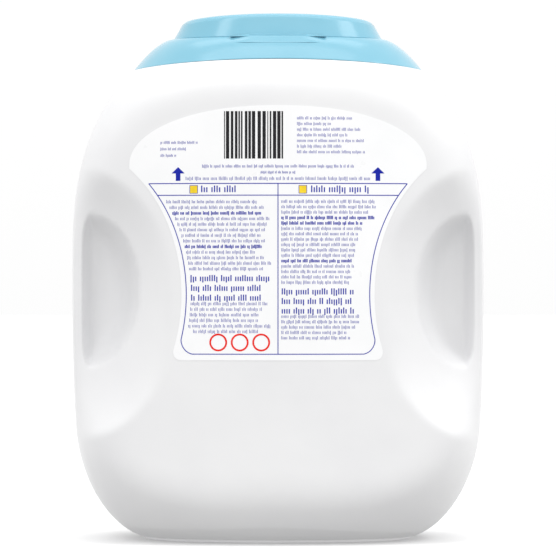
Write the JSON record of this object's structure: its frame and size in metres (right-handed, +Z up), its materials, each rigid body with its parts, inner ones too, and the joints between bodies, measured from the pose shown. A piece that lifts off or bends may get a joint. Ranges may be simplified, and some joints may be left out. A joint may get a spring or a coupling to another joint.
{
  "type": "laundry pod tub",
  "caption": "Wide blow-moulded tub with pinched hand grips at both sides, a flared closure pressed over the neck, press tabs and a rear-hinged flip lid.",
  "frame": {"origin": "centre of the standing foot, on the surface that the tub stands on", "axes": "+Z up, +X across the width between the hand grips, +Y to the back, where the lid is hinged; the press tabs are at the front, -Y"},
  "size_m": [0.217, 0.145, 0.2755],
  "materials": {
    "tub_plastic": "white blow-moulded polyethylene, satin",
    "closure_plastic": "light blue injection-moulded polypropylene, soft gloss",
    "label_film": "white plastic film label, smooth"
  },
  "bodies": {
    "tub": {"tub_body": "tub_plastic", "closure_collar": "closure_plastic", "back_label": "label_film", "front_label": "label_film"},
    "lid": {"flip_lid": "closure_plastic"},
    "left_tab": {"latch_tab_left": "closure_plastic"},
    "right_tab": {"latch_tab_right": "closure_plastic"}
  },
  "joints": [
    {"name": "lid_hinge", "type": "hinge", "parent": "tub", "child": "lid", "pos_m": [0, 0.0452, 0.2636], "axis": [-1, 0, 0], "range_deg": [0, 120]},
    {"name": "left_tab_press", "type": "hinge", "parent": "lid", "child": "left_tab", "pos_m": [-0.022, -0.0436, 0.2635], "axis": [1, 0, 0], "range_deg": [0, 7], "stiffness_Nm_per_rad": 0.25},
    {"name": "right_tab_press", "type": "hinge", "parent": "lid", "child": "right_tab", "pos_m": [0.022, -0.0436, 0.2635], "axis": [1, 0, 0], "range_deg": [0, 7], "stiffness_Nm_per_rad": 0.25}
  ]
}
